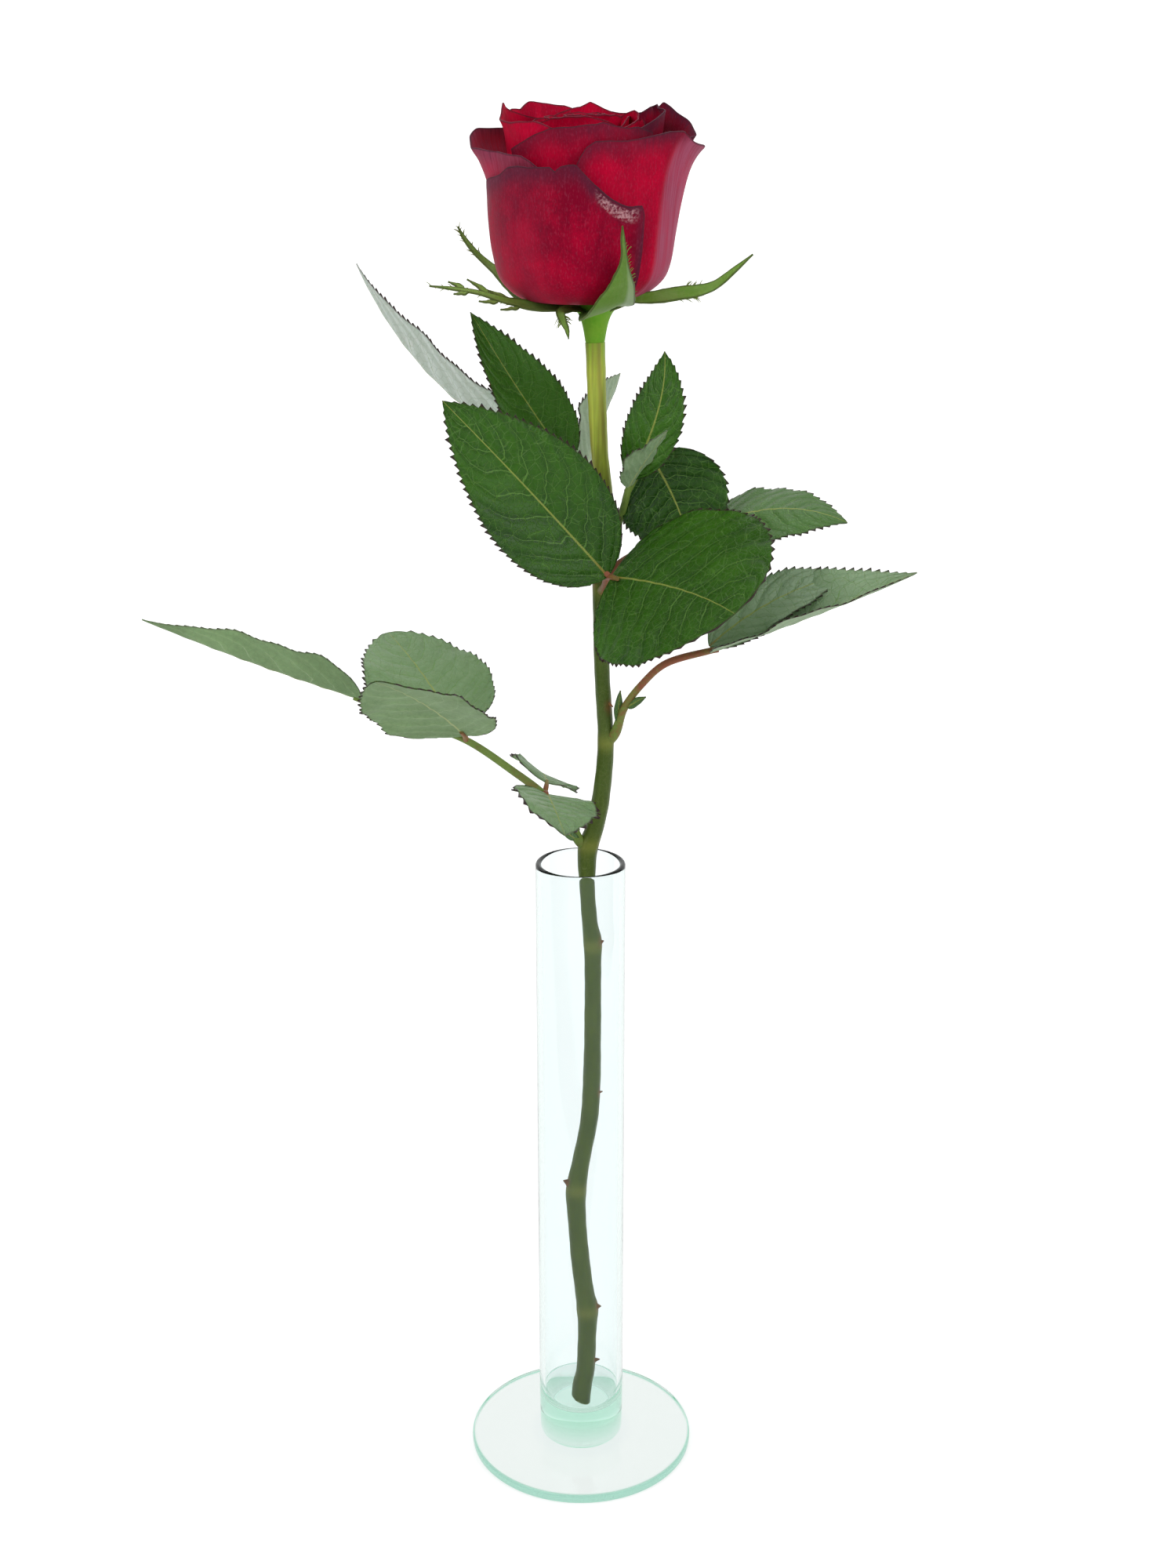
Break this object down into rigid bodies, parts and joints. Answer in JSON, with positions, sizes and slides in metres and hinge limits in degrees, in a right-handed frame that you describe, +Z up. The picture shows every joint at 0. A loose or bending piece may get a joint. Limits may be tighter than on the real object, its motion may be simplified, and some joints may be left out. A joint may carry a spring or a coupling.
{
  "type": "rose in a bud vase",
  "caption": "Cut red rose with sepals and toothed compound leaves, standing in a slim clear glass tube vase on a round flat foot.",
  "frame": {"origin": "centre of the underside of the vase's foot", "axes": "+Z up along the vase's tube, -Y towards the front, +X to the right seen from the front"},
  "size_m": [0.2242, 0.1127, 0.4333],
  "materials": {
    "glass": "clear polished glass with a faint green tint",
    "stem": null,
    "calyx": null,
    "petal": null,
    "leaf": null
  },
  "bodies": {
    "root": {"vase_foot": "glass", "vase_tube": "glass", "stem": "stem", "calyx": "calyx", "bloom": "petal", "leaf_a": "leaf", "leaf_b": "leaf", "leaf_c": "leaf", "leaf_d": "leaf", "leaf_e": "leaf"}
  },
  "joints": []
}
